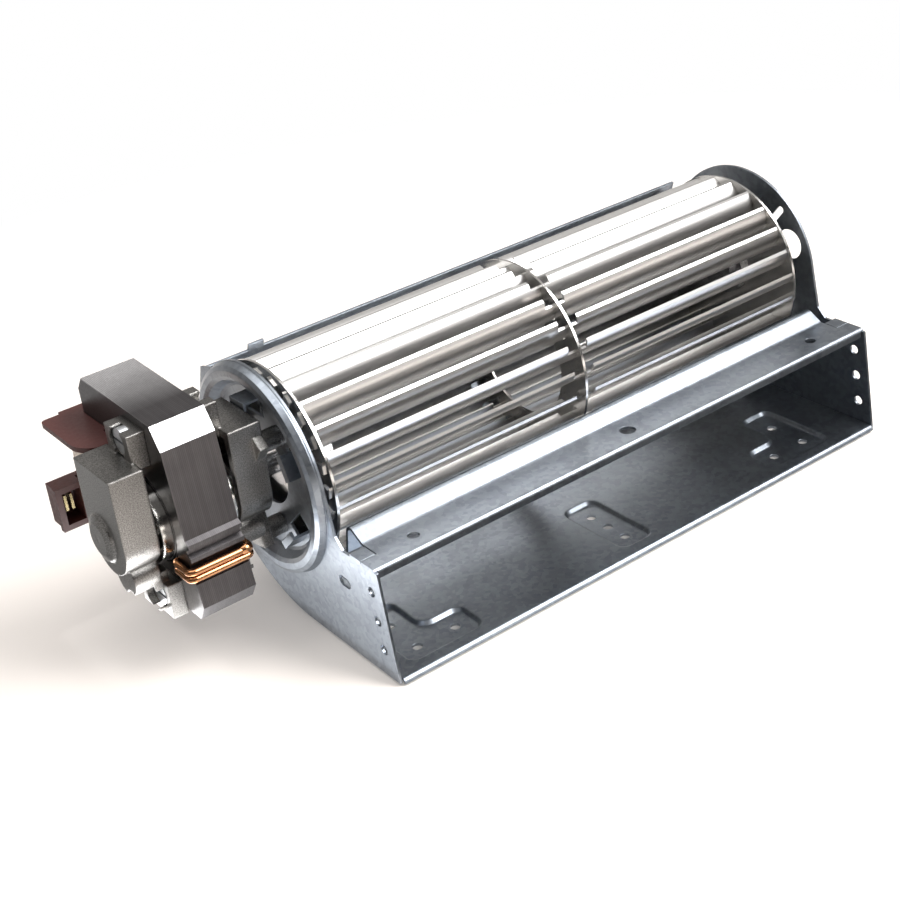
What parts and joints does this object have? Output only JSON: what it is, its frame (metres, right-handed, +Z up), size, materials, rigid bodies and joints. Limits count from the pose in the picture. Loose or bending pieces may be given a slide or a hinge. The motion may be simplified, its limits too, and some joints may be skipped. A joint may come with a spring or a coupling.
{
  "type": "cross flow fan",
  "caption": "Small cross flow fan: bladed drum in a bent sheet casing with an outlet tray and a flange, driven at one end by an open shaded pole motor.",
  "frame": {"origin": "centre of the fixing hole in the middle of the flange, on the flange's top face", "axes": "+X along the drum from the motor to the far bearing, +Y from the outlet to the back, +Z up out of the flange"},
  "size_m": [0.2453, 0.0952, 0.0763],
  "materials": {
    "galvanised_sheet": "zinc coated, satin, faint spangle",
    "drum_aluminium": "bright rolled",
    "turned_steel": "turned",
    "zinc_screw": "zinc plated",
    "sintered_bronze": "sintered",
    "bearing_rubber": "moulded",
    "lamination_steel": "stacked sheets, cut edges",
    "cage_aluminium": "cast and turned",
    "die_cast": "as cast, sand blasted",
    "brown_plastic": "moulded",
    "coil_enamel": "enamelled wire",
    "bare_copper": "drawn wire",
    "brass_pins": "pressed"
  },
  "bodies": {
    "casing": {"scroll_wall": "galvanised_sheet", "front_wall": "galvanised_sheet", "motor_side_plate": "galvanised_sheet", "bearing_side_plate": "galvanised_sheet", "outer_retainer": "turned_steel", "inner_retainer": "turned_steel", "bearing_cap": "turned_steel", "through_screws": "zinc_screw", "mounting_screws": "zinc_screw", "end_bearing": "sintered_bronze", "outer_bush": "sintered_bronze", "inner_bush": "sintered_bronze", "bearing_mount": "bearing_rubber", "pole_stack": "lamination_steel", "coil_core": "lamination_steel", "outer_bracket": "die_cast", "inner_bracket": "die_cast", "bobbin": "brown_plastic", "coil_winding": "coil_enamel", "front_shading_ring_upper": "bare_copper", "front_shading_ring_lower": "bare_copper", "back_shading_ring_upper": "bare_copper", "back_shading_ring_lower": "bare_copper", "terminal_pins": "brass_pins"},
    "rotor": {"motor_end_disc": "drum_aluminium", "middle_disc": "drum_aluminium", "bearing_end_disc": "drum_aluminium", "blade_01": "drum_aluminium", "blade_02": "drum_aluminium", "blade_03": "drum_aluminium", "blade_04": "drum_aluminium", "blade_05": "drum_aluminium", "blade_06": "drum_aluminium", "blade_07": "drum_aluminium", "blade_08": "drum_aluminium", "blade_09": "drum_aluminium", "blade_10": "drum_aluminium", "blade_11": "drum_aluminium", "blade_12": "drum_aluminium", "blade_13": "drum_aluminium", "blade_14": "drum_aluminium", "blade_15": "drum_aluminium", "blade_16": "drum_aluminium", "blade_17": "drum_aluminium", "blade_18": "drum_aluminium", "blade_19": "drum_aluminium", "blade_20": "drum_aluminium", "blade_21": "drum_aluminium", "blade_22": "drum_aluminium", "blade_23": "drum_aluminium", "blade_24": "drum_aluminium", "drive_hub": "turned_steel", "hub_screw": "turned_steel", "stub_shaft": "turned_steel", "rotor_core": "lamination_steel", "rotor_cage": "cage_aluminium", "motor_shaft": "turned_steel", "thrust_washers": "turned_steel"}
  },
  "joints": [
    {"name": "drum_spin", "type": "hinge", "parent": "casing", "child": "rotor", "pos_m": [0, 0.045, 0.0102], "axis": [-1, 0, 0], "continuous": true}
  ]
}
